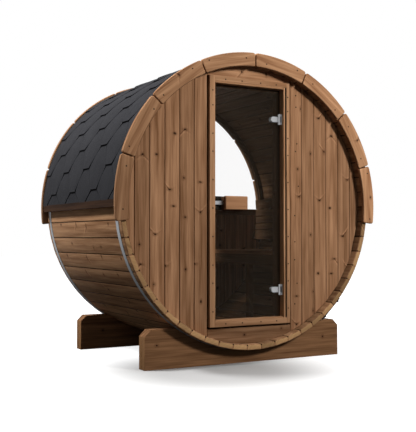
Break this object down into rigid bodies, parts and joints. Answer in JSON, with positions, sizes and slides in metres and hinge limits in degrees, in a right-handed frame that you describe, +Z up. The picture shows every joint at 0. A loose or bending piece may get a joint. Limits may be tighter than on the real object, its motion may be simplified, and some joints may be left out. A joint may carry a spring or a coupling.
{
  "type": "barrel sauna",
  "caption": "Free-standing barrel sauna cabin of wooden staves on two runners, with a shingled roof, a hinged glass door, a half-moon rear window and benches inside.",
  "frame": {"origin": "on the ground, at the middle of the barrel's length and width", "axes": "+X to the right seen from the door, +Y from the door towards the rear window, +Z up"},
  "size_m": [2.06, 1.46, 2.1089],
  "materials": {
    "runner_wood": "sawn, oiled, two boards laminated",
    "stave_wood": "planed, heat-treated, satin",
    "deck_wood": "sawn",
    "eave_wood": "dark stained",
    "trim_wood": "planed, heat-treated, rounded edges",
    "wall_wood": "tongue-and-groove boards, heat-treated, knotty",
    "frame_wood": "planed, heat-treated",
    "inside_wood": "planed, heat-treated, untreated surface",
    "handle_wood": "sanded smooth, eased edges",
    "bitumen_shingle": "black mineral granules",
    "hoop_steel": "stainless band",
    "hinge_steel": "satin",
    "door_glass": "toughened, clear with a slight warm tint",
    "window_glass": "toughened, clear"
  },
  "bodies": {
    "cabin": {"runner_front": "runner_wood", "runner_rear": "runner_wood", "barrel_staves_1": "stave_wood", "barrel_staves_2": "stave_wood", "barrel_staves_3": "stave_wood", "barrel_staves_4": "stave_wood", "barrel_staves_5": "stave_wood", "barrel_staves_6": "stave_wood", "barrel_staves_7": "stave_wood", "barrel_staves_8": "stave_wood", "barrel_staves_9": "stave_wood", "hoop_front": "hoop_steel", "hoop_rear": "hoop_steel", "roof_deck_right": "deck_wood", "roof_deck_left": "deck_wood", "shingles_right": "bitumen_shingle", "shingles_left": "bitumen_shingle", "eave_boards": "eave_wood", "front_trim": "trim_wood", "rear_trim": "trim_wood", "front_wall_left": "wall_wood", "front_wall_right": "wall_wood", "front_header": "wall_wood", "front_sill_board": "wall_wood", "door_posts": "inside_wood", "door_cross_rails": "inside_wood", "door_frame_stiles": "frame_wood", "door_frame_head": "frame_wood", "door_frame_sill": "frame_wood", "door_stop": "inside_wood", "hinge_plates": "hinge_steel", "rear_wall": "wall_wood", "window_rail": "wall_wood", "window_glass": "window_glass", "window_beads": "inside_wood", "bench_slats_right": "inside_wood", "bench_slats_left": "inside_wood", "bench_frame_right": "inside_wood", "bench_frame_left": "inside_wood", "backrest_right": "inside_wood", "backrest_left": "inside_wood"},
    "door": {"door_glass": "door_glass", "hinge_clamps": "hinge_steel", "handle_outside": "handle_wood", "handle_inside": "handle_wood", "handle_bolts": "hinge_steel", "door_latch": "hinge_steel"}
  },
  "joints": [
    {"name": "door_hinge", "type": "hinge", "parent": "cabin", "child": "door", "pos_m": [0.257, -0.628, 0.489], "axis": [0, 0, 1], "range_deg": [0, 100]}
  ]
}
